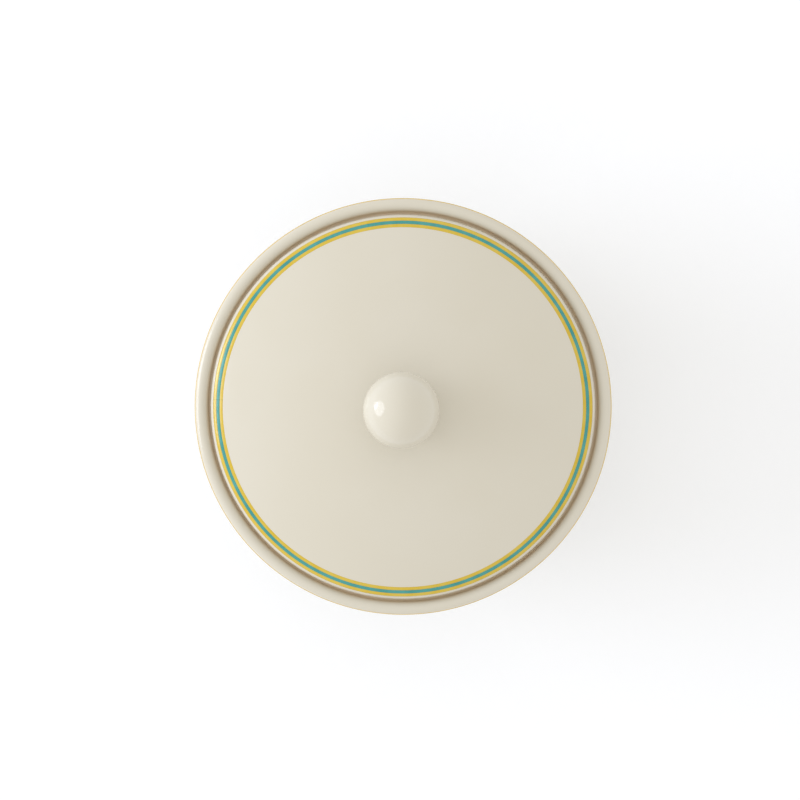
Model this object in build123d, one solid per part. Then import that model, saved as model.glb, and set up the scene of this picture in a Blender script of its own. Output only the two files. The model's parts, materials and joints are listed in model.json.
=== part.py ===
from build123d import *

import math
import os

# A lidded rice bowl in millimetres, turned about Z. It stands on z = 0 with its axis at the origin.
# Every section is drawn with radius along local x and height along local y, then turned once round.

# Bowl
rim_diameter = 115.0  # across the widest point of the lip
bowl_height = 60.0  # table to the crest of the lip
bowl_wall = 3.2
lip_round = 1.85  # radius that rolls over the lip
ledge_drop = 2.2  # crest of the lip down to the ledge that carries the lid
ledge_width = 3.7  # inner wall out to the corner of the gallery
gallery_flare = 0.15  # how far the gallery's wall leans out before the lip rolls over
gallery_round = 0.6  # both corners of the ledge
neck_height = 3.8  # ledge down to where the round body starts
flare_drop = 8.8  # crest of the lip down to the start of the flare outside
flare_round = 8.0  # hollow curve where the flare starts
foot_diameter = 50.0
foot_height = 7.4  # table to where the body meets the outside of the foot
foot_width = 3.7  # of the ring that stands on the table
foot_edge = 0.8  # both edges of that ring
foot_join = 1.5  # curves that join the foot to the body
hollow_depth = 4.6  # under the foot
floor_thickness = 4.0
floor_round = 25.0  # inner floor into the inner wall

# Lid
lid_clearance = 0.70  # all round, at the level of the ledge
lid_skirt = 2.1  # height of the lid's upright side
lid_shoulder = 3.3  # radius from the upright side into the dome
lid_dome = 130.0  # radius of the dome, outside
lid_wall = 3.0
lid_skirt_wall = 2.6
lid_inner_round = 2.0  # dome into the upright side, inside
skirt_edge = 0.4  # edges of the lid's seat

# Knob
knob_diameter = 20.4
knob_lift = 1.25  # seat up to the underside of the ball
knob_cove = 1.7  # radius of the hollow neck under the ball
knob_base_edge = 0.3  # height of the neck's rim
knob_base_rim = 1.05  # width of that rim outside the cove
knob_wall = 3.5
vent_diameter = 2.5  # lets air out of the hollow knob in the kiln

# Enamel lines, three touching ones on the lid's shoulder and three on the outside of the lip
lid_line_width = 0.91  # seen from above
lid_line_inset = 0.87  # plain margin outside the outermost line
lip_line_width = 0.7  # along the surface
lip_line_rise = 0.8  # how far the top line reaches above the widest point
enamel_depth = 0.10
enamel_proud = 0.05

# Sizes that follow
lip_r = rim_diameter / 2 - lip_round
lip_z = bowl_height - lip_round
gallery_r = lip_r - lip_round - gallery_flare
inner_r = gallery_r - ledge_width
ledge_z = bowl_height - ledge_drop
foot_r = foot_diameter / 2
floor_z = hollow_depth + floor_thickness

# The body is part of a ball centred on the axis. Its outside runs through the foot and the neck.
body_r = inner_r + bowl_wall
neck_z = ledge_z - neck_height
body_z = (body_r**2 - foot_r**2 + neck_z**2 - foot_height**2) / (2 * (neck_z - foot_height))
body_round = math.hypot(body_r, body_z - neck_z)

lid_r = gallery_r - lid_clearance
shoulder_r = lid_r - lid_shoulder
shoulder_z = ledge_z + lid_skirt
dome_z = shoulder_z - math.sqrt((lid_dome - lid_shoulder) ** 2 - shoulder_r**2)
shoulder_end = math.degrees(math.acos(shoulder_r / (lid_dome - lid_shoulder)))

knob_r = knob_diameter / 2
cove_z = knob_base_edge + knob_cove  # above the seat
cove_r = math.sqrt((knob_r + knob_cove) ** 2 - (knob_lift + knob_r - cove_z) ** 2)
knob_base_r = cove_r + knob_base_rim
seat_z = dome_z + math.sqrt(lid_dome**2 - knob_base_r**2)
knob_z = seat_z + knob_lift + knob_r

bed_out = 2 * enamel_depth  # an enamel line's bed is cut past the face, so that no skin stays over it


def block(left, low, right, high):
    """A rectangle between two corners of the section plane."""
    return Pos(left, low) * Rectangle(right - left, high - low, align=(Align.MIN, Align.MIN))


def rounded(section, corner, radius):
    """The section with its corner nearest to a point rounded off."""
    nearest = section.vertices().sort_by_distance((*corner, 0))[0]
    return fillet(nearest, radius)


def turned(section):
    """The solid that a half section sweeps once round the Z axis."""
    return revolve(Plane.XZ * section, Axis.Z)


def body_angle(z, radius):
    """Angle along the bowl's round body at a height, outside or inside."""
    return -math.degrees(math.asin((body_z - z) / radius))


def body_point(z, radius):
    """Point on the bowl's round body at a height, outside or inside."""
    return math.sqrt(radius**2 - (body_z - z) ** 2), z


def lip_tangent(r, z, side):
    """Slope of the line from a point that touches the lip's roll, outside (1) or inside (-1)."""
    across = lip_r - r
    up = lip_z - z
    return math.atan2(up, across) - side * math.asin(lip_round / math.hypot(across, up))


flare_z = bowl_height - flare_drop
flare_r = body_point(flare_z, body_round)[0]
flare_angle = lip_tangent(flare_r, flare_z, 1)
gallery_angle = lip_tangent(gallery_r, ledge_z, -1)


def bowl_section():
    """Half of the bowl without its enamel."""
    foot_inner = foot_r - foot_width
    outer_start = body_angle(foot_height, body_round)
    outer_end = body_angle(flare_z, body_round)
    outer_wall = CenterArc((0, body_z), body_round, outer_start, outer_end - outer_start)
    lip_start = math.degrees(flare_angle) - 90
    lip_end = math.degrees(gallery_angle) + 90
    lip = CenterArc((lip_r, lip_z), lip_round, lip_start, lip_end - lip_start)
    inner_round = body_round - bowl_wall
    floor_angle = body_angle(floor_z, inner_round)
    neck_angle = -math.degrees(math.acos(min(1, inner_r / inner_round)))
    inner_wall = CenterArc((0, body_z), inner_round, floor_angle, neck_angle - floor_angle)
    foot = Polyline(
        (0, hollow_depth), (foot_inner, hollow_depth), (foot_inner, 0), (foot_r, 0), outer_wall @ 0
    )
    flare = Line(outer_wall @ 1, lip @ 0)
    gallery = Polyline(lip @ 1, (gallery_r, ledge_z), (inner_r, ledge_z), inner_wall @ 1)
    floor = Polyline(inner_wall @ 0, (0, floor_z), (0, hollow_depth))
    section = make_face([foot, outer_wall, flare, lip, gallery, inner_wall, floor])

    section = rounded(section, (foot_inner, hollow_depth), foot_join)
    section = rounded(section, (foot_inner, 0), foot_edge)
    section = rounded(section, (foot_r, 0), foot_edge)
    section = rounded(section, (foot_r, foot_height), foot_join)
    section = rounded(section, (flare_r, flare_z), flare_round)
    section = rounded(section, (gallery_r, ledge_z), gallery_round)
    section = rounded(section, (inner_r, ledge_z), gallery_round)
    return rounded(section, body_point(floor_z, inner_round), floor_round)


def lip_point(down, out):
    """Point a distance down the lip's outer face from its widest place, moved outwards."""
    rolled = lip_round * (math.pi / 2 - flare_angle)
    turn = min(down, rolled) / lip_round
    below = max(down - rolled, 0)
    r = lip_r + (lip_round + out) * math.cos(turn) - below * math.cos(flare_angle)
    z = lip_z - (lip_round + out) * math.sin(turn) - below * math.sin(flare_angle)
    return r, z


def lid_point(r, out):
    """Point on the lid's outer face at a radius, moved outwards."""
    if r > lid_dome * math.cos(math.radians(shoulder_end)):
        turn = math.acos((r - shoulder_r) / lid_shoulder)
        reach = lid_shoulder + out
        return shoulder_r + reach * math.cos(turn), shoulder_z + reach * math.sin(turn)
    turn = math.acos(r / lid_dome)
    return (lid_dome + out) * math.cos(turn), dome_z + (lid_dome + out) * math.sin(turn)


def lid_section():
    """What lies under the lid's outer face."""
    shoulder = CenterArc((shoulder_r, shoulder_z), lid_shoulder, 0, shoulder_end)
    dome = CenterArc((0, dome_z), lid_dome, shoulder_end, 90 - shoulder_end)
    rest = Polyline(dome @ 1, (0, ledge_z), (lid_r, ledge_z), shoulder @ 0)
    return make_face([shoulder, dome, rest])


def lid_hollow():
    """Half of the space under the lid."""
    side_r = lid_r - lid_skirt_wall
    inner_dome = lid_dome - lid_wall
    corner_angle = math.degrees(math.acos(side_r / inner_dome))
    dome = CenterArc((0, dome_z), inner_dome, corner_angle, 90 - corner_angle)
    rest = Polyline(dome @ 1, (0, ledge_z), (side_r, ledge_z), dome @ 0)
    return rounded(make_face([dome, rest]), tuple(dome @ 0)[:2], lid_inner_round)


def vent():
    """The vent's half section, from under the lid into the knob's hollow."""
    return block(0, ledge_z, vent_diameter / 2, knob_z)


def lid_shell(beds):
    """The domed lid, cut flat where the knob is stuck on and sunk where the enamel lines go."""
    crown = block(0, seat_z, lid_r, seat_z + knob_r)
    section = lid_section() - lid_hollow() - crown - vent()
    section = rounded(section, (lid_r - lid_skirt_wall, ledge_z), skirt_edge)
    return turned(rounded(section, (lid_r, ledge_z), skirt_edge) - beds)


def lid_knob():
    """The hollow ball and its short neck, sitting on the lid's crown."""
    cove_up = math.degrees(math.atan2(knob_z - seat_z - cove_z, -cove_r))
    cove = CenterArc((cove_r, seat_z + cove_z), knob_cove, 270, cove_up - 270)
    ball = CenterArc((0, knob_z), knob_r, cove_up - 180, 270 - cove_up)
    rim_z = seat_z + knob_base_edge
    rest = Polyline(ball @ 1, (0, seat_z), (knob_base_r, seat_z), (knob_base_r, rim_z), cove @ 0)
    hollow = Pos(0, knob_z) * Circle(knob_r - knob_wall) & block(0, seat_z, knob_r, knob_z + knob_r)
    return turned(make_face([cove, ball, rest]) - hollow - vent())


def band(face, start, end, out):
    """Section of one enamel line between two places on a face, from its bed in the glaze outwards."""
    corners = [(start, out), (end, out), (end, -enamel_depth), (start, -enamel_depth)]
    return make_face(Polyline(*[face(*corner) for corner in corners], close=True))


def lid_line(place, out=enamel_proud):
    """One enamel line on the lid, counted inwards from the outermost at 0."""
    outer = lid_r - lid_line_inset - place * lid_line_width
    return band(lid_point, outer, outer - lid_line_width, out)


def lip_line(place, out=enamel_proud):
    """One enamel line outside the lip, counted downwards from the top one at 0."""
    top = place * lip_line_width - lip_line_rise
    return band(lip_point, top, top + lip_line_width, out)


lid_line_nodes = ["lid_line_yellow_outer", "lid_line_teal", "lid_line_yellow_inner"]
lip_line_nodes = ["lip_line_yellow_upper", "lip_line_teal", "lip_line_yellow_lower"]
parts = {
    "bowl_body": turned(bowl_section() - [lip_line(place, bed_out) for place in range(len(lip_line_nodes))]),
    "lid_shell": lid_shell([lid_line(place, bed_out) for place in range(len(lid_line_nodes))]),
    "lid_knob": lid_knob(),
}
for place, node in enumerate(lid_line_nodes):
    parts[node] = turned(lid_line(place))
for place, node in enumerate(lip_line_nodes):
    parts[node] = turned(lip_line(place))

os.makedirs("parts", exist_ok=True)
for node, shape in parts.items():
    export_step(shape, f"parts/{node}.step")
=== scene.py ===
import json
import math

import bpy
from mathutils import Matrix, Vector
from mathutils.geometry import intersect_line_line_2d

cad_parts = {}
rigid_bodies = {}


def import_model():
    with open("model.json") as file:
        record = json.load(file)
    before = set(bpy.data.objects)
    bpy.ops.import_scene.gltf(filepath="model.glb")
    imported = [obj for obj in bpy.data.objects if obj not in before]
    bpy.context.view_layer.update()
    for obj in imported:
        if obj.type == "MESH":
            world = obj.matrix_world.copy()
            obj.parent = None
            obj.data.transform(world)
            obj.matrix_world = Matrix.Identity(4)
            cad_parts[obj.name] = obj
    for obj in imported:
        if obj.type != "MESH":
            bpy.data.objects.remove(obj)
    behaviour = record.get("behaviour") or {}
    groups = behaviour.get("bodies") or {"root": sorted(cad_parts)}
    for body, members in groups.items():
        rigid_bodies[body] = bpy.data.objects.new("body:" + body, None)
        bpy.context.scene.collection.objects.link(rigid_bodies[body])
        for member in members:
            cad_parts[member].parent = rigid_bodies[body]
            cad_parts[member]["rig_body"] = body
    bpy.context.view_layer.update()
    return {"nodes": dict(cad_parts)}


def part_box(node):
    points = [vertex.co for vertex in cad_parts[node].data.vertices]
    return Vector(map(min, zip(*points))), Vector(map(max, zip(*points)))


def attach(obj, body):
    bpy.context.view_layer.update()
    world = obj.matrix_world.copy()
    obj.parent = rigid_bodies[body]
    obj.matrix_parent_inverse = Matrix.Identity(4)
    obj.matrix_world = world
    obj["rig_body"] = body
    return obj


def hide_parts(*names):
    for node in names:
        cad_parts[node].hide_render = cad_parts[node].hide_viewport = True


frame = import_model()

MM = 0.001
TURN_STEPS = 256  # facets round every turned piece
MERGE_WITHIN = 0.002 * MM

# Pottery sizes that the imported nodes' boxes don't give
ENAMEL_PROUD = 0.025 * MM
ENAMEL_DEPTH = 0.10 * MM
BED_EDGE = 0.06 * MM  # a narrow facet beside each bed, so that the glaze next to it stays smooth
LID_LINE_INSET = 0.87 * MM
LID_LINE_WIDTH = 0.91 * MM
LIP_LINE_RISE = 0.8 * MM
LIP_LINE_WIDTH = 0.7 * MM
LIP_ROUND = 1.85 * MM
GALLERY_FLARE = 0.15 * MM
LEDGE_WIDTH = 3.7 * MM
BOWL_WALL = 3.2 * MM
NECK_HEIGHT = 3.8 * MM
FLARE_DROP = 8.8 * MM
FOOT_R = 25.0 * MM
FOOT_TOP = 7.4 * MM
FOOT_WIDTH = 3.7 * MM
HOLLOW_DEPTH = 4.6 * MM
FLOOR_Z = 8.6 * MM
LID_SKIRT = 2.1 * MM
LID_SHOULDER = 3.3 * MM
LID_DOME = 130.0 * MM
LID_WALL = 3.0 * MM
SKIRT_WALL = 2.6 * MM
KNOB_COVE = 1.7 * MM
KNOB_RIM = 0.3 * MM
KNOB_WALL = 3.5 * MM
VENT_R = 1.25 * MM

# How far from each corner its rounding starts
HOLLOW_CORNER = 1.5 * MM
FOOT_EDGE = 0.8 * MM
FOOT_JOIN = 1.6 * MM
FLARE_BEND = 3.0 * MM
GALLERY_CORNER = 0.48 * MM
LEDGE_EDGE = 0.6 * MM
FLOOR_BEND = 5.0 * MM
LID_CORNER = 1.3 * MM
SKIRT_EDGE = 0.4 * MM

LID_LINES = ("lid_line_yellow_outer", "lid_line_teal", "lid_line_yellow_inner")  # from the edge inwards
LIP_LINES = ("lip_line_yellow_upper", "lip_line_teal", "lip_line_yellow_lower")  # from the top down

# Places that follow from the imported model
lip_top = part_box("bowl_body")[1].z
bed_turn = (LIP_LINE_WIDTH - LIP_LINE_RISE) / LIP_ROUND  # upper edge of the teal bed, the widest place
lip_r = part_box("bowl_body")[1].x - (LIP_ROUND - ENAMEL_DEPTH) * math.cos(bed_turn)
lip_z = lip_top - LIP_ROUND
ledge_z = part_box("lid_shell")[0].z
gallery_r = lip_r - LIP_ROUND - GALLERY_FLARE
inner_r = gallery_r - LEDGE_WIDTH
body_r = inner_r + BOWL_WALL
neck_z = ledge_z - NECK_HEIGHT
body_z = (body_r**2 - FOOT_R**2 + neck_z**2 - FOOT_TOP**2) / (2 * (neck_z - FOOT_TOP))
body_round = math.hypot(body_r, body_z - neck_z)

lid_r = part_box("lid_shell")[1].x
seat_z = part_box("lid_knob")[0].z
shoulder_r = lid_r - LID_SHOULDER
shoulder_z = ledge_z + LID_SKIRT
dome_z = shoulder_z - math.sqrt((LID_DOME - LID_SHOULDER) ** 2 - shoulder_r**2)
shoulder_end = math.acos(shoulder_r / (LID_DOME - LID_SHOULDER))

knob_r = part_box("lid_knob")[1].x
knob_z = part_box("lid_knob")[1].z - knob_r
cove_z = seat_z + KNOB_RIM + KNOB_COVE
cove_r = math.sqrt((knob_r + KNOB_COVE) ** 2 - (knob_z - cove_z) ** 2)
knob_base_r = math.sqrt(LID_DOME**2 - (seat_z - dome_z) ** 2)


# ---------------------------------------------------------------------------- outlines
# An outline is a list of (radius, height) points, drawn from under the piece, outwards and up.


def steps_between(low, high, steps):
    """Evenly spaced values from one number to another, both counted in."""
    return [low + (high - low) * i / steps for i in range(steps + 1)]


def arc(centre, radius, start, end, steps):
    """Points along a circle from one angle to another, both in radians from outwards."""
    turns = steps_between(start, end, steps)
    return [Vector(centre) + Vector((math.cos(a), math.sin(a))) * radius for a in turns]


def run(start, end, steps):
    """Evenly spaced points along a straight run, without its end."""
    a, b = Vector(start), Vector(end)
    return [a.lerp(b, i / steps) for i in range(steps)]


def walk(path, reach):
    """How many points a walk along a path passes, where it ends and which way it was going."""
    for passed, (a, b) in enumerate(zip(path, path[1:]), 1):
        step = (b - a).length
        if step >= reach:
            way = (b - a).normalized()
            return passed, a + way * reach, way
        reach -= step
    raise ValueError("the outline ends before the rounding does")


def soften(outline, corner, reach, steps=6):
    """Rounds an outline's corner, starting and ending a given way from it."""
    at = min(range(len(outline)), key=lambda i: (outline[i] - Vector(corner)).length)
    back, enter, way_in = walk(outline[at::-1], reach)
    on, leave, way_out = walk(outline[at:], reach)
    far = 6 * reach
    peak = intersect_line_line_2d(enter, enter - way_in * far, leave, leave - way_out * far)
    shares = [i / steps for i in range(steps + 1)]
    curve = [enter * (1 - u) ** 2 + peak * 2 * u * (1 - u) + leave * u**2 for u in shares]
    return outline[: at - back + 1] + curve + outline[at + on :]


def lip_slope(r, z, side):
    """Slope of the line from a point that touches the lip's roll, outside (1) or inside (-1)."""
    across, up = lip_r - r, lip_z - z
    return math.atan2(up, across) - side * math.asin(LIP_ROUND / math.hypot(across, up))


flare_z = lip_top - FLARE_DROP
flare_end = -math.asin((body_z - flare_z) / body_round)
flare_r = body_round * math.cos(flare_end)
flare_slope = lip_slope(flare_r, flare_z, 1)
gallery_slope = lip_slope(gallery_r, ledge_z, -1)


def lip_face(down, offset):
    """Point a distance down the lip's outer face from its widest place, moved out by an offset."""
    rolled = LIP_ROUND * (math.pi / 2 - flare_slope)
    turn = min(down, rolled) / LIP_ROUND
    out = Vector((math.cos(turn), -math.sin(turn)))
    flare = Vector((math.cos(flare_slope), math.sin(flare_slope)))
    return Vector((lip_r, lip_z)) + out * (LIP_ROUND + offset) - flare * max(down - rolled, 0)


def lid_face(r, offset):
    """Point on the lid's outer face at a radius, moved out by an offset."""
    if r > LID_DOME * math.cos(shoulder_end):
        centre_r, centre_z, radius = shoulder_r, shoulder_z, LID_SHOULDER
    else:
        centre_r, centre_z, radius = 0, dome_z, LID_DOME
    angle = math.acos(min(1, (r - centre_r) / radius))
    return Vector((centre_r, centre_z)) + Vector((math.cos(angle), math.sin(angle))) * (radius + offset)


def bowl_outline():
    """The bowl from the middle of its hollow foot, up outside, over the lip and down to its floor."""
    foot_inner = FOOT_R - FOOT_WIDTH
    inner_round = body_round - BOWL_WALL
    foot_start = -math.asin((body_z - FOOT_TOP) / body_round)
    floor_start = -math.asin((body_z - FLOOR_Z) / inner_round)
    floor_r = inner_round * math.cos(floor_start)
    neck_start = -math.acos(min(1, inner_r / inner_round))
    lines_high = -LIP_LINE_RISE
    lines_low = lines_high + len(LIP_LINES) * LIP_LINE_WIDTH

    outline = run((0, HOLLOW_DEPTH), (foot_inner, HOLLOW_DEPTH), 8)
    outline += run((foot_inner, HOLLOW_DEPTH), (foot_inner, 0), 3)
    outline += run((foot_inner, 0), (FOOT_R, 0), 3)
    outline += run((FOOT_R, 0), (FOOT_R, FOOT_TOP), 4)
    outline += arc((0, body_z), body_round, foot_start, flare_end, 36)
    flare_start = outline[-1].lerp(lip_face(lines_low, 0), 0.25)
    outline += run(flare_start, lip_face(lines_low + BED_EDGE, 0), 4)
    outline += [lip_face(lines_low + BED_EDGE, 0), lip_face(lines_low, 0)]
    outline += [lip_face(d, -ENAMEL_DEPTH) for d in steps_between(lines_low, lines_high, 16)]
    top_turn = -lines_high / LIP_ROUND
    outline += arc((lip_r, lip_z), LIP_ROUND, top_turn, gallery_slope + math.pi / 2, 16)
    gallery_start = outline[-1].lerp(Vector((gallery_r, ledge_z)), 0.2)
    outline += run(gallery_start, (gallery_r, ledge_z), 4)
    outline += run((gallery_r, ledge_z), (inner_r, ledge_z), 4)
    outline += run((inner_r, ledge_z), (inner_r, neck_z), 3)
    outline += arc((0, body_z), inner_round, neck_start, floor_start, 40)
    outline += run((floor_r, FLOOR_Z), (0, FLOOR_Z), 8)[1:] + [Vector((0, FLOOR_Z))]

    outline = soften(outline, (foot_inner, HOLLOW_DEPTH), HOLLOW_CORNER)
    outline = soften(outline, (foot_inner, 0), FOOT_EDGE)
    outline = soften(outline, (FOOT_R, 0), FOOT_EDGE)
    outline = soften(outline, (FOOT_R, FOOT_TOP), FOOT_JOIN, 8)
    outline = soften(outline, (flare_r, flare_z), FLARE_BEND, 12)
    outline = soften(outline, (gallery_r, ledge_z), GALLERY_CORNER, 8)
    outline = soften(outline, (inner_r, ledge_z), LEDGE_EDGE, 8)
    return soften(outline, (floor_r, FLOOR_Z), FLOOR_BEND, 12)


def shoulder_radii(outer, inner, steps):
    """Radii that divide the lid's shoulder into equal turns."""
    start = math.acos((outer - shoulder_r) / LID_SHOULDER)
    end = math.acos((inner - shoulder_r) / LID_SHOULDER)
    return [shoulder_r + LID_SHOULDER * math.cos(a) for a in steps_between(start, end, steps)]


def lid_outline():
    """The lid's section, once round from the vent's foot, back to where it started."""
    side_r = lid_r - SKIRT_WALL
    inner_dome = LID_DOME - LID_WALL
    side_turn = math.acos(side_r / inner_dome)
    side_top = (side_r, dome_z + inner_dome * math.sin(side_turn))
    vent_turn = math.acos(VENT_R / inner_dome)
    lines_outer = lid_r - LID_LINE_INSET
    lines_inner = lines_outer - len(LID_LINES) * LID_LINE_WIDTH

    outline = arc((0, dome_z), inner_dome, vent_turn, side_turn, 40)
    outline += run(side_top, (side_r, ledge_z), 4)[1:]
    outline += run((side_r, ledge_z), (lid_r, ledge_z), 3)
    outline += run((lid_r, ledge_z), (lid_r, shoulder_z), 3)
    outline += [lid_face(r, 0) for r in shoulder_radii(lid_r, lines_outer, 6)]
    outline += [lid_face(r, -ENAMEL_DEPTH) for r in steps_between(lines_outer, lines_inner, 18)]
    outline += [lid_face(lines_inner, 0)]
    outline += [lid_face(r, 0) for r in steps_between(lines_inner - BED_EDGE, knob_base_r, 30)]
    outline += run((knob_base_r, seat_z), (VENT_R, seat_z), 4)[1:]
    outline += run((VENT_R, seat_z), outline[0], 2) + [outline[0]]

    outline = soften(outline, side_top, LID_CORNER, 8)
    outline = soften(outline, (side_r, ledge_z), SKIRT_EDGE, 4)
    return soften(outline, (lid_r, ledge_z), SKIRT_EDGE, 4)


def knob_outline():
    """The knob from the top of its hollow, out through the vent, and up round the ball."""
    hollow_r = knob_r - KNOB_WALL
    vent_turn = -math.acos(VENT_R / hollow_r)
    cove_end = math.atan2(knob_z - cove_z, -cove_r)
    outline = arc((0, knob_z), hollow_r, math.pi / 2, vent_turn, 40)
    outline += run(outline[-1], (VENT_R, seat_z), 3)[1:]
    outline += run((VENT_R, seat_z), (knob_base_r, seat_z), 4)
    for share in steps_between(0, 1, 8):
        r = knob_base_r + (cove_r - knob_base_r) * share
        rise = share * share * (3 - 2 * share)
        outline.append(Vector((r, seat_z + KNOB_RIM * rise)))
    outline += arc((cove_r, cove_z), KNOB_COVE, -math.pi / 2, cove_end - 2 * math.pi, 14)[1:]
    return outline + arc((0, knob_z), knob_r, cove_end - math.pi, math.pi / 2, 72)[1:]


def line_outline(face, start, end):
    """One enamel line: flat where it lies in the glaze, and gently crowned on top."""
    shares = steps_between(0, 1, 8)
    crown = [1 - (2 * u - 1) ** 4 for u in shares]
    under = [face(start + (end - start) * u, -ENAMEL_DEPTH) for u in shares]
    top = [face(start + (end - start) * u, ENAMEL_PROUD * c) for u, c in zip(shares, crown)]
    return under + top[::-1] + [under[0]]


# ---------------------------------------------------------------------------- turning


def select_nothing():
    """Leaves no object selected, so that an operator acts on new work alone."""
    bpy.ops.object.select_all(action="DESELECT")


def turn(name, outline):
    """Draws an outline point by point, turns it once round the axis and merges what meets."""
    select_nothing()
    bpy.ops.mesh.primitive_plane_add(size=MM, location=(0, 0, 0))
    piece = bpy.context.object
    piece.name = name
    piece.data.name = name
    bpy.ops.object.mode_set(mode="EDIT")
    bpy.ops.mesh.select_all(action="SELECT")
    bpy.ops.mesh.merge(type="CENTER")
    bpy.ops.transform.translate(value=(outline[0].x, 0, outline[0].y))
    for a, b in zip(outline, outline[1:]):
        step = (b.x - a.x, 0, b.y - a.y)
        bpy.ops.mesh.extrude_region_move(TRANSFORM_OT_translate={"value": step})
    bpy.ops.mesh.select_all(action="SELECT")
    bpy.ops.mesh.spin(steps=TURN_STEPS, angle=2 * math.pi, center=(0, 0, 0), axis=(0, 0, 1))
    bpy.ops.mesh.select_all(action="SELECT")
    bpy.ops.mesh.remove_doubles(threshold=MERGE_WITHIN)
    bpy.ops.mesh.normals_make_consistent(inside=False)
    bpy.ops.object.mode_set(mode="OBJECT")
    bpy.ops.object.shade_smooth()
    return piece


def settle(piece, node, material):
    """Gives a piece its finish and its place in the frame."""
    piece.data.materials.clear()
    piece.data.materials.append(material)
    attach(piece, frame["nodes"][node]["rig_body"])
    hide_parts(node)


# ---------------------------------------------------------------------------- finishes


def place(tree, kind, **settings):
    """Adds a node and sets its properties."""
    made = tree.nodes.new(kind)
    for key, value in settings.items():
        setattr(made, key, value)
    return made


def feed(tree, target, value):
    """Links a socket to an input, or sets the input to a plain value."""
    if isinstance(value, bpy.types.NodeSocket):
        tree.links.new(value, target)
    else:
        target.default_value = value


def maths(tree, operation, a, b=0.0, c=0.0):
    """The outcome of one sum on up to three values."""
    made = place(tree, "ShaderNodeMath", operation=operation)
    for socket, value in zip(made.inputs, (a, b, c)):
        feed(tree, socket, value)
    return made.outputs[0]


def distance(tree, a, b):
    """How far a point is from the origin, from its two coordinates."""
    squares = [maths(tree, "MULTIPLY", value, value) for value in (a, b)]
    return maths(tree, "SQRT", maths(tree, "ADD", *squares))


def coordinates(tree, point, scale=1.0):
    """The X, Y and Z of a point, scaled."""
    scaled = place(tree, "ShaderNodeVectorMath", operation="SCALE")
    feed(tree, scaled.inputs[0], point)
    feed(tree, scaled.inputs["Scale"], scale)
    split = place(tree, "ShaderNodeSeparateXYZ")
    feed(tree, split.inputs[0], scaled.outputs[0])
    return split.outputs


def ranged(tree, value, low, high, to_low=0.0, to_high=1.0):
    """A value brought smoothly from one range to another, and held inside it."""
    made = place(tree, "ShaderNodeMapRange", interpolation_type="SMOOTHSTEP")
    limits = {"From Min": low, "From Max": high, "To Min": to_low, "To Max": to_high}
    for name, number in {"Value": value, **limits}.items():
        feed(tree, made.inputs[name], number)
    return made.outputs[0]


def noise(tree, where, scale, detail=2.0, rough=0.5):
    """Cloudy noise from 0 to 1, with a scale in clouds per metre."""
    made = place(tree, "ShaderNodeTexNoise")
    settings = {"Vector": where, "Scale": scale, "Detail": detail, "Roughness": rough}
    for name, value in settings.items():
        feed(tree, made.inputs[name], value)
    return made.outputs["Fac"]


def blend_colour(tree, share, a, b):
    """Colour a, with a share of colour b mixed in."""
    made = place(tree, "ShaderNodeMix", data_type="RGBA")
    feed(tree, made.inputs[0], share)
    feed(tree, made.inputs[6], a)
    feed(tree, made.inputs[7], b)
    return made.outputs[2]


def group(name, inputs, outputs):
    """A new shader node group with named sockets: its tree, its inputs and its output node."""
    tree = bpy.data.node_groups.new(name, "ShaderNodeTree")
    for socket, kind, default in inputs:
        made = tree.interface.new_socket(name=socket, in_out="INPUT", socket_type=kind)
        if default is not None:
            made.default_value = default
    for socket, kind in outputs:
        tree.interface.new_socket(name=socket, in_out="OUTPUT", socket_type=kind)
    return tree, tree.nodes.new("NodeGroupInput").outputs, tree.nodes.new("NodeGroupOutput").inputs


def use(tree, made_group, **values):
    """Places a group in a material, with its own values. Spaces in socket names are written _."""
    made = tree.nodes.new("ShaderNodeGroup")
    made.node_tree = made_group
    for name, value in values.items():
        feed(tree, made.inputs[name.replace("_", " ")], value)
    return made.outputs


VECTOR, FLOAT = "NodeSocketVector", "NodeSocketFloat"


def glaze_surface_group():
    """Height of a dipped glaze in millimetres: slow waves from wheel and dip, and a fine skin."""
    tree, given, out = group(
        "glaze_surface",
        [
            ("Place", VECTOR, None),
            ("Wave Size", FLOAT, 14.0),
            ("Wave Depth", FLOAT, 0.03),
            ("Skin Depth", FLOAT, 0.003),
        ],
        [("Height", FLOAT)],
    )
    waves = noise(tree, given["Place"], maths(tree, "DIVIDE", 1 / MM, given["Wave Size"]), 1.0)
    skin = noise(tree, given["Place"], 900.0, 2.0)
    high = maths(tree, "MULTIPLY", maths(tree, "SUBTRACT", waves, 0.5), given["Wave Depth"])
    fine = maths(tree, "MULTIPLY", maths(tree, "SUBTRACT", skin, 0.5), given["Skin Depth"])
    feed(tree, out["Height"], maths(tree, "ADD", high, fine))
    return tree


def specks_group():
    """Rare dots of iron that come through a glaze in the kiln, with sizes in millimetres."""
    tree, given, out = group(
        "kiln_specks",
        [
            ("Place", VECTOR, None),
            ("Spacing", FLOAT, 5.0),
            ("Size", FLOAT, 0.14),
            ("Share", FLOAT, 0.06),
        ],
        [("Mask", FLOAT)],
    )
    scale = maths(tree, "DIVIDE", 1 / MM, given["Spacing"])
    cells = place(tree, "ShaderNodeTexVoronoi", feature="F1")
    feed(tree, cells.inputs["Vector"], given["Place"])
    feed(tree, cells.inputs["Scale"], scale)
    away = maths(tree, "MULTIPLY", cells.outputs["Distance"], given["Spacing"])
    dot = ranged(tree, away, given["Size"], maths(tree, "MULTIPLY", given["Size"], 0.4))
    split = place(tree, "ShaderNodeSeparateColor")
    feed(tree, split.inputs[0], cells.outputs["Color"])
    chosen = maths(tree, "LESS_THAN", split.outputs[0], given["Share"])
    feed(tree, out["Mask"], maths(tree, "MULTIPLY", dot, chosen))
    return tree


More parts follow.
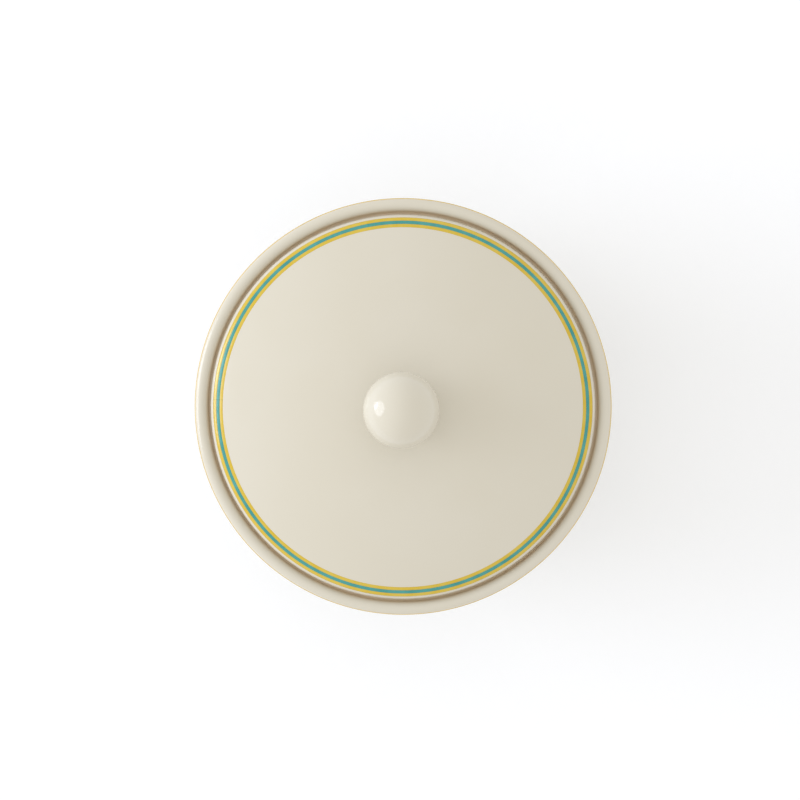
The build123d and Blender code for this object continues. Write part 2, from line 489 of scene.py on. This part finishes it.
def ring_group():
    """A soft ring round the axis, at a radius and a height in millimetres, with a wavering edge."""
    tree, given, out = group(
        "glaze_ring",
        [
            ("Place", VECTOR, None),
            ("Radius", FLOAT, 50.0),
            ("Height", FLOAT, 50.0),
            ("Reach", FLOAT, 2.0),
            ("Softness", FLOAT, 1.0),
            ("Waver", FLOAT, 0.2),
        ],
        [("Mask", FLOAT)],
    )
    x, y, z = coordinates(tree, given["Place"], 1 / MM)
    off = maths(tree, "SUBTRACT", distance(tree, x, y), given["Radius"])
    up = maths(tree, "SUBTRACT", z, given["Height"])
    away = distance(tree, off, up)
    wander = maths(tree, "SUBTRACT", noise(tree, given["Place"], 180.0, 3.0), 0.5)
    away = maths(tree, "MULTIPLY_ADD", wander, maths(tree, "MULTIPLY", given["Waver"], 2.0), away)
    half = maths(tree, "MULTIPLY", given["Softness"], 0.5)
    start = maths(tree, "ADD", given["Reach"], half)
    end = maths(tree, "SUBTRACT", given["Reach"], half)
    feed(tree, out["Mask"], ranged(tree, away, start, end))
    return tree


def enamel_group():
    """How thickly an enamel line took, in clouds and grain, and the joint where its ends meet."""
    tree, given, out = group(
        "enamel_film",
        [
            ("Place", VECTOR, None),
            ("Grain", FLOAT, 0.35),
            ("Joint Angle", FLOAT, 3.1),
            ("Joint Width", FLOAT, 0.003),
        ],
        [("Thickness", FLOAT), ("Joint", FLOAT)],
    )
    cloud = noise(tree, given["Place"], 220.0, 3.0, 0.6)
    grain = noise(tree, given["Place"], 2600.0, 2.0, 0.6)
    grain = maths(tree, "MULTIPLY", maths(tree, "SUBTRACT", grain, 0.5), given["Grain"])
    feed(tree, out["Thickness"], ranged(tree, maths(tree, "ADD", cloud, grain), 0.25, 0.75))
    x, y, _ = coordinates(tree, given["Place"])
    turned = maths(tree, "ARCTAN2", y, x)
    off = maths(tree, "ABSOLUTE", maths(tree, "SUBTRACT", turned, given["Joint Angle"]))
    full = maths(tree, "MULTIPLY", given["Joint Width"], 0.4)
    feed(tree, out["Joint"], ranged(tree, off, given["Joint Width"], full))
    return tree


glaze_surface = glaze_surface_group()
kiln_specks = specks_group()
glaze_ring = ring_group()
enamel_film = enamel_group()

CREAM = (0.66, 0.62, 0.525, 1)
CREAM_DEEP = (0.62, 0.57, 0.455, 1)
# Warm tan for scant glaze at edges; on the lip's outer edge it is painted shade, where the lip turns away
# from the light.
CREAM_THIN_AND_EDGE_SHADE = (0.72, 0.55, 0.36, 1)
# Painted shade: the warm brown of the dark groove between the lid and the bowl's lip.
CREAM_GROOVE_SHADE = (0.70, 0.57, 0.40, 1)
BISCUIT = (0.74, 0.66, 0.54, 1)
SPECK_BROWN = (0.25, 0.16, 0.08, 1)
YELLOW = (0.60, 0.405, 0.012, 1)
YELLOW_FAINT = (0.63, 0.46, 0.05, 1)
YELLOW_LAPPED = (0.40, 0.32, 0.02, 1)
TEAL = (0.025, 0.255, 0.235, 1)
TEAL_FAINT = (0.06, 0.32, 0.295, 1)
TEAL_LAPPED = (0.02, 0.15, 0.12, 1)


def new_material(name):
    """A material with its tree, its Principled shader and the place on the piece."""
    material = bpy.data.materials.new(name)
    material.use_nodes = True
    tree = material.node_tree
    tree.nodes.clear()
    shader = tree.nodes.new("ShaderNodeBsdfPrincipled")
    result = tree.nodes.new("ShaderNodeOutputMaterial")
    tree.links.new(shader.outputs[0], result.inputs["Surface"])
    where = tree.nodes.new("ShaderNodeTexCoord").outputs["Object"]
    return material, tree, shader, where


def rings(tree, where, places):
    """The strongest of several rings, each (radius, height, reach, softness) in metres."""
    whole = 0.0
    for ring in places:
        settings = zip(("Radius", "Height", "Reach", "Softness"), [size / MM for size in ring])
        mask = use(tree, glaze_ring, Place=where, **dict(settings))["Mask"]
        whole = maths(tree, "MAXIMUM", whole, mask)
    return whole


def roughened(tree, shader, height):
    """Gives a shader a bumpy face from a height in millimetres."""
    bump = place(tree, "ShaderNodeBump")
    bump.inputs["Strength"].default_value = 1.0
    bump.inputs["Distance"].default_value = MM
    feed(tree, bump.inputs["Height"], height)
    tree.links.new(bump.outputs["Normal"], shader.inputs["Normal"])


def cream_glaze(name, thin_and_edge_shade=(), pooled=(), groove_shade=(), bare=()):
    """Glossy cream glaze: warm at scant edges and at painted edge shade, deep where pooled, painted shade
    in the gallery, wiped off if bare.
    """
    material, tree, shader, where = new_material(name)
    drift = ranged(tree, noise(tree, where, 28.0, 3.0), 0.35, 0.65)
    colour = blend_colour(tree, maths(tree, "MULTIPLY", drift, 0.25), CREAM, CREAM_DEEP)
    toned = (pooled, 0.7, CREAM_DEEP), (thin_and_edge_shade, 0.8, CREAM_THIN_AND_EDGE_SHADE), (groove_shade, 0.9, CREAM_GROOVE_SHADE)
    for places, share, tone in toned:
        if places:
            mask = maths(tree, "MULTIPLY", rings(tree, where, places), share)
            colour = blend_colour(tree, mask, colour, tone)
    specks = use(tree, kiln_specks, Place=where)["Mask"]
    colour = blend_colour(tree, maths(tree, "MULTIPLY", specks, 0.35), colour, SPECK_BROWN)
    shine = ranged(tree, noise(tree, where, 300.0, 2.0), 0.3, 0.7, 0.09, 0.13)
    height = use(tree, glaze_surface, Place=where)["Height"]
    if bare:
        unglazed = rings(tree, where, bare)
        colour = blend_colour(tree, unglazed, colour, BISCUIT)
        grain = noise(tree, where, 3500.0, 3.0, 0.7)
        shine = maths(tree, "ADD", shine, maths(tree, "MULTIPLY", unglazed, 0.6))
        rough = maths(tree, "MULTIPLY", maths(tree, "MULTIPLY", grain, unglazed), 0.03)
        sunk = maths(tree, "MULTIPLY", unglazed, 0.08)
        height = maths(tree, "ADD", height, maths(tree, "SUBTRACT", rough, sunk))
    feed(tree, shader.inputs["Base Color"], colour)
    feed(tree, shader.inputs["Roughness"], shine)
    shader.inputs["IOR"].default_value = 1.5
    roughened(tree, shader, height)
    return material


def enamel(name, full, faint, lapped):
    """Fired enamel: full where it took thickly, faint where it took lightly, and deeper where its ends
    lap.
    """
    material, tree, shader, where = new_material(name)
    film = use(tree, enamel_film, Place=where)
    colour = blend_colour(tree, film["Thickness"], faint, full)
    colour = blend_colour(tree, maths(tree, "MULTIPLY", film["Joint"], 0.6), colour, lapped)
    feed(tree, shader.inputs["Base Color"], colour)
    feed(tree, shader.inputs["Roughness"], ranged(tree, film["Thickness"], 0.0, 1.0, 0.14, 0.22))
    shader.inputs["IOR"].default_value = 1.6
    roughened(tree, shader, maths(tree, "MULTIPLY", film["Thickness"], 0.006))
    return material


# ---------------------------------------------------------------------------- the pieces

bowl_glaze = cream_glaze(
    "bowl_glaze",
    thin_and_edge_shade=[
        # Painted shade: a warm dark band along the lip's outer edge, where it turns away from the light.
        (*lip_face(-LIP_LINE_RISE, 0), 0.35 * MM, 0.5 * MM),
        (inner_r, ledge_z, 0.3 * MM, 0.8 * MM),
    ],
    pooled=[(FOOT_R, FOOT_TOP, 1.2 * MM, 2.4 * MM)],
    # Painted shade in the groove between the lid's edge and the lip.
    groove_shade=[(gallery_r, ledge_z, 1.3 * MM, 1.8 * MM)],
    bare=[(FOOT_R - FOOT_WIDTH / 2, -0.3 * MM, 2.0 * MM, 0.15 * MM)],
)
lid_glaze = cream_glaze(
    "lid_glaze",
    thin_and_edge_shade=[(lid_r, ledge_z + 0.8 * MM, 0.3 * MM, 0.8 * MM)],
    pooled=[(knob_base_r, seat_z, 0.5 * MM, 1.5 * MM)],
    bare=[(lid_r - SKIRT_WALL / 2, ledge_z - 0.3 * MM, 1.3 * MM, 0.15 * MM)],
)
knob_glaze = cream_glaze("knob_glaze", pooled=[(cove_r, cove_z - KNOB_COVE, 1.2 * MM, 2.0 * MM)])
enamels = {
    "yellow": enamel("yellow_enamel", YELLOW, YELLOW_FAINT, YELLOW_LAPPED),
    "teal": enamel("teal_enamel", TEAL, TEAL_FAINT, TEAL_LAPPED),
}

settle(turn("bowl", bowl_outline()), "bowl_body", bowl_glaze)
settle(turn("lid", lid_outline()), "lid_shell", lid_glaze)
settle(turn("knob", knob_outline()), "lid_knob", knob_glaze)


def fire_line(node, outline):
    """Turns one enamel line and gives it the enamel that its node is named for."""
    colour = node.split("_")[2]
    settle(turn(node + "_enamel", outline), node, enamels[colour])


for order, node in enumerate(LID_LINES):
    outer = lid_r - LID_LINE_INSET - order * LID_LINE_WIDTH
    fire_line(node, line_outline(lid_face, outer, outer - LID_LINE_WIDTH))
for order, node in enumerate(LIP_LINES):
    upper = order * LIP_LINE_WIDTH - LIP_LINE_RISE
    fire_line(node, line_outline(lip_face, upper, upper + LIP_LINE_WIDTH))


# ---------------------------------------------------------------------------- floor, light and camera

FLOOR_SIDE = 8.0
PAPER_WHITE = (0.87, 0.88, 0.905, 1)
PAPER_GLOW = 0.09  # keeps the paper white without more light on the bowl
ROOM_WHITE = (0.965, 0.955, 0.93, 1)
SOFTBOX_WHITE = (0.94, 1.0, 1.13)  # a little cooler than the room
SOFTBOX_AWAY = 1.2

select_nothing()
bpy.ops.mesh.primitive_plane_add(size=FLOOR_SIDE, location=(0, 0, 0))
floor = bpy.context.object
floor.name = "floor"
paper, _, shader, _ = new_material("white_paper")
shader.inputs["Base Color"].default_value = PAPER_WHITE
shader.inputs["Roughness"].default_value = 0.9
shader.inputs["Specular IOR Level"].default_value = 0.2
shader.inputs["Emission Color"].default_value = (1, 1, 1, 1)
shader.inputs["Emission Strength"].default_value = PAPER_GLOW
floor.data.materials.append(paper)

world = bpy.data.worlds.new("studio")
bpy.context.scene.world = world
world.use_nodes = True
world.node_tree.nodes["Background"].inputs["Color"].default_value = ROOM_WHITE


def softbox(name, azimuth, elevation, size, power):
    """A round softbox that faces the knob from a direction in degrees."""
    a, e = math.radians(azimuth), math.radians(elevation)
    out = Vector((math.cos(e) * math.cos(a), math.cos(e) * math.sin(a), math.sin(e)))
    light = bpy.data.lights.new(name, "AREA")
    light.shape = "DISK"
    light.size = size
    light.energy = power
    light.color = SOFTBOX_WHITE
    lamp = bpy.data.objects.new(name, light)
    bpy.context.scene.collection.objects.link(lamp)
    lamp.location = Vector((0, 0, knob_z)) + out * SOFTBOX_AWAY
    lamp.rotation_mode = "QUATERNION"
    lamp.rotation_quaternion = out.to_track_quat("Z", "Y")


softbox("side_softbox", azimuth=175, elevation=20, size=0.8, power=5.2)
softbox("low_softbox", azimuth=169.5, elevation=6, size=0.36, power=1.0)

# The camera looks almost straight down, leaning a little towards the far right.
LEAN = math.radians(2.06)
LEAN_WAY = Vector((0.503, 0.864, 0)).normalized()
CAMERA_AWAY = 0.797
CAMERA_LEFT = 0.81 * MM
CAMERA_UP = 1.89 * MM
out = (LEAN_WAY * math.sin(LEAN) + Vector((0, 0, math.cos(LEAN)))).normalized()
camera_data = bpy.data.cameras.new("camera")
camera_data.lens = 130
camera_data.sensor_width = 36
camera_data.clip_end = 20
camera = bpy.data.objects.new("camera", camera_data)
bpy.context.scene.collection.objects.link(camera)
camera.rotation_mode = "QUATERNION"
across = Vector((0, 1, 0)).cross(out).normalized()
upwards = out.cross(across)
camera.rotation_quaternion = Matrix((across, upwards, out)).transposed().to_quaternion()
camera.location = Vector((0, 0, lip_z)) + out * CAMERA_AWAY - across * CAMERA_LEFT + upwards * CAMERA_UP
bpy.context.scene.camera = camera
bpy.context.scene.view_settings.view_transform = "Standard"
